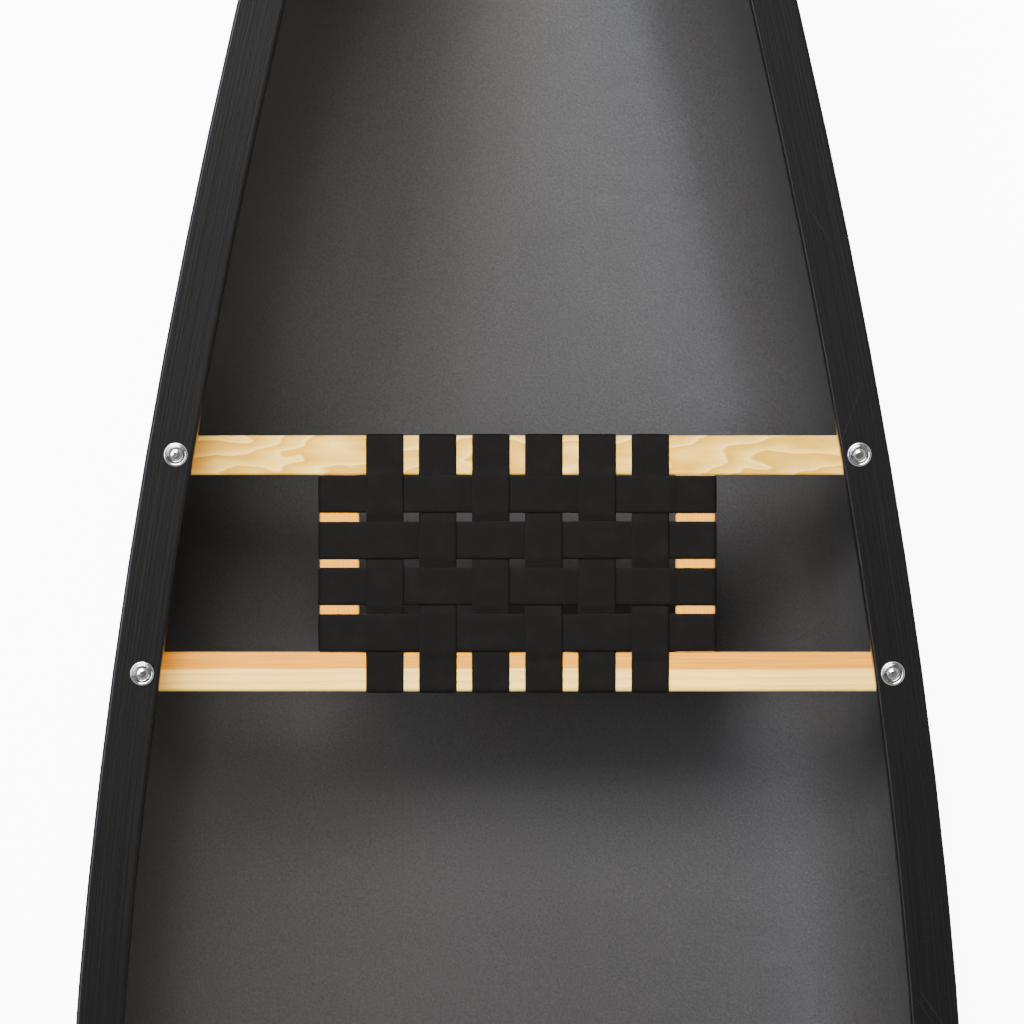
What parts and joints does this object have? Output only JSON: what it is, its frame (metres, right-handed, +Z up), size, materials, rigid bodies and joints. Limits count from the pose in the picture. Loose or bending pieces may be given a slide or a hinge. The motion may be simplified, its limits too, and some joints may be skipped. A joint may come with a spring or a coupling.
{
  "type": "canoe",
  "caption": "Open tandem canoe with dark hull, black gunwales, wooden seats with woven webbing, yoke, thwart, carry handles and deck caps.",
  "frame": {"origin": "on the floor, under the middle of the hull", "axes": "+X towards the bow, +Y to port, +Z up"},
  "size_m": [4.877, 0.914, 0.5432],
  "materials": {
    "hull_laminate": "satin",
    "gunwale_vinyl": "satin",
    "deck_vinyl": "satin",
    "stiffener_alloy": "mill",
    "ash": "satin varnish",
    "ash_frame": "satin varnish",
    "webbing": "woven",
    "stainless": "bright",
    "rivet_alloy": "coated"
  },
  "bodies": {
    "root": {"yoke": "ash", "thwart": "ash", "bow_carry_handle": "ash", "stern_carry_handle": "ash", "yoke_screws": "stainless", "yoke_cup_washers": "stainless", "yoke_flat_washers": "stainless", "yoke_lock_nuts": "stainless", "thwart_screws": "stainless", "thwart_cup_washers": "stainless", "thwart_flat_washers": "stainless", "thwart_lock_nuts": "stainless", "handle_screws": "stainless", "handle_cup_washers": "stainless", "handle_flat_washers": "stainless", "handle_lock_nuts": "stainless", "bow_seat_screws": "stainless", "bow_seat_cup_washers": "stainless", "bow_seat_flat_washers": "stainless", "bow_seat_lock_nuts": "stainless", "stern_seat_screws": "stainless", "stern_seat_cup_washers": "stainless", "stern_seat_flat_washers": "stainless", "stern_seat_lock_nuts": "stainless", "bow_deck_cap": "deck_vinyl", "stern_deck_cap": "deck_vinyl", "bow_deck_rivets": "rivet_alloy", "stern_deck_rivets": "rivet_alloy", "bow_seat_front_rail": "ash_frame", "bow_seat_rear_rail": "ash_frame", "bow_seat_side_rail_port": "ash_frame", "bow_seat_side_rail_starboard": "ash_frame", "bow_seat_dowels": "ash_frame", "bow_seat_straps_lengthwise": "webbing", "bow_seat_straps_crosswise": "webbing", "bow_seat_staples": "stainless", "bow_seat_truss_port": "ash", "bow_seat_truss_starboard": "ash", "stern_seat_front_rail": "ash_frame", "stern_seat_rear_rail": "ash_frame", "stern_seat_side_rail_port": "ash_frame", "stern_seat_side_rail_starboard": "ash_frame", "stern_seat_dowels": "ash_frame", "stern_seat_straps_lengthwise": "webbing", "stern_seat_straps_crosswise": "webbing", "stern_seat_staples": "stainless", "stern_seat_truss_port": "ash", "stern_seat_truss_starboard": "ash", "gunwale_port": "gunwale_vinyl", "gunwale_starboard": "gunwale_vinyl", "gunwale_stiffener_port": "stiffener_alloy", "gunwale_stiffener_starboard": "stiffener_alloy", "gunwale_rivets_port": "rivet_alloy", "gunwale_rivets_starboard": "rivet_alloy", "hull": "hull_laminate"}
  },
  "joints": []
}
